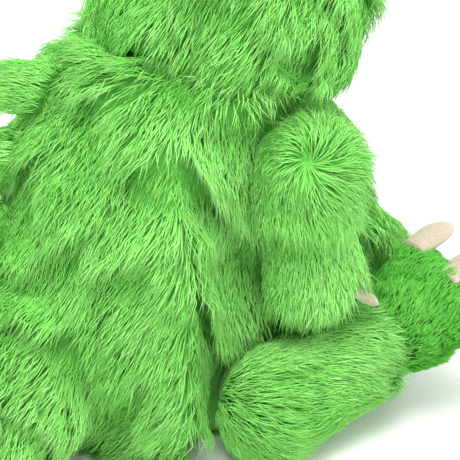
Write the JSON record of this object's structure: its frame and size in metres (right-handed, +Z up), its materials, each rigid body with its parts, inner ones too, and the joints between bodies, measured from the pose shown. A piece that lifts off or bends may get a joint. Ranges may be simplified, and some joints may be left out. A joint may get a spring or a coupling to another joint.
{
  "type": "stuffed dinosaur",
  "caption": "Sitting long-pile plush dinosaur with a turning head, swinging arms and legs, soft claws, padded back spikes and a tail that rests on the floor.",
  "frame": {"origin": "on the floor under the middle of the round body, at the flat base that it sits on", "axes": "+Z up; the dinosaur faces -Y and its tail runs along +Y; its right side is -X"},
  "size_m": [0.3542, 0.4207, 0.4703],
  "materials": {
    "green_fur": "long pile plush",
    "spike_fur": "long pile plush",
    "sole_plush": "short pile plush",
    "claw_suede": "smooth suede cloth",
    "stuffing": "polyester fibre",
    "pellet_cotton": "plain cotton",
    "joint_plastic": "moulded",
    "eye_plastic": "polished",
    "dark_thread": "embroidery"
  },
  "bodies": {
    "torso": {"back_panel_right": "green_fur", "back_panel_left": "green_fur", "belly_panel": "green_fur", "base_panel": "green_fur", "neck_top_panel": "green_fur", "body_stuffing": "stuffing", "pellet_bag": "pellet_cotton", "neck_washer": "joint_plastic", "shoulder_washer_right": "joint_plastic", "shoulder_washer_left": "joint_plastic", "hip_washer_right": "joint_plastic", "hip_washer_left": "joint_plastic", "flank_right": "green_fur", "flank_left": "green_fur", "back_spike_1": "spike_fur", "back_spike_2": "spike_fur", "back_spike_3": "spike_fur", "tail_skin": "green_fur", "tail_stuffing": "stuffing", "tail_spike_1": "spike_fur", "tail_spike_2": "spike_fur"},
    "head": {"head_panel_right": "green_fur", "head_panel_left": "green_fur", "jaw_panel": "green_fur", "head_stuffing": "stuffing", "eye_right": "eye_plastic", "eye_left": "eye_plastic", "eye_washer_right": "joint_plastic", "eye_washer_left": "joint_plastic", "nostril_stitching": "dark_thread", "head_spike_1": "spike_fur", "head_spike_2": "spike_fur", "neck_disc": "joint_plastic", "neck_lock": "joint_plastic"},
    "arm_right": {"arm_skin_right": "green_fur", "arm_stuffing_right": "stuffing", "hand_claws_right": "claw_suede", "shoulder_disc_right": "joint_plastic", "shoulder_lock_right": "joint_plastic"},
    "leg_right": {"leg_skin_right": "green_fur", "leg_stuffing_right": "stuffing", "foot_skin_right": "green_fur", "foot_stuffing_right": "stuffing", "sole_right": "sole_plush", "foot_claws_right": "claw_suede", "hip_disc_right": "joint_plastic", "hip_lock_right": "joint_plastic"},
    "arm_left": {"arm_skin_left": "green_fur", "arm_stuffing_left": "stuffing", "hand_claws_left": "claw_suede", "shoulder_disc_left": "joint_plastic", "shoulder_lock_left": "joint_plastic"},
    "leg_left": {"leg_skin_left": "green_fur", "leg_stuffing_left": "stuffing", "foot_skin_left": "green_fur", "foot_stuffing_left": "stuffing", "sole_left": "sole_plush", "foot_claws_left": "claw_suede", "hip_disc_left": "joint_plastic", "hip_lock_left": "joint_plastic"}
  },
  "joints": [
    {"name": "neck_turn", "type": "hinge", "parent": "torso", "child": "head", "pos_m": [0, 0, 0.28], "axis": [0, 0, 1], "range_deg": [-18, 18]},
    {"name": "shoulder_right", "type": "hinge", "parent": "torso", "child": "arm_right", "pos_m": [-0.08354, -0.04002, 0.215], "axis": [-0.9903, -0.1392, 0], "range_deg": [-36, 9]},
    {"name": "shoulder_left", "type": "hinge", "parent": "torso", "child": "arm_left", "pos_m": [0.08354, -0.04002, 0.215], "axis": [-0.9903, 0.1392, 0], "range_deg": [-36, 9]},
    {"name": "hip_right", "type": "hinge", "parent": "torso", "child": "leg_right", "pos_m": [-0.08744, -0.01229, 0.044], "axis": [-0.9903, -0.1392, 0], "range_deg": [-80, 0]},
    {"name": "hip_left", "type": "hinge", "parent": "torso", "child": "leg_left", "pos_m": [0.08744, -0.01229, 0.044], "axis": [-0.9903, 0.1392, 0], "range_deg": [-80, 0]}
  ]
}
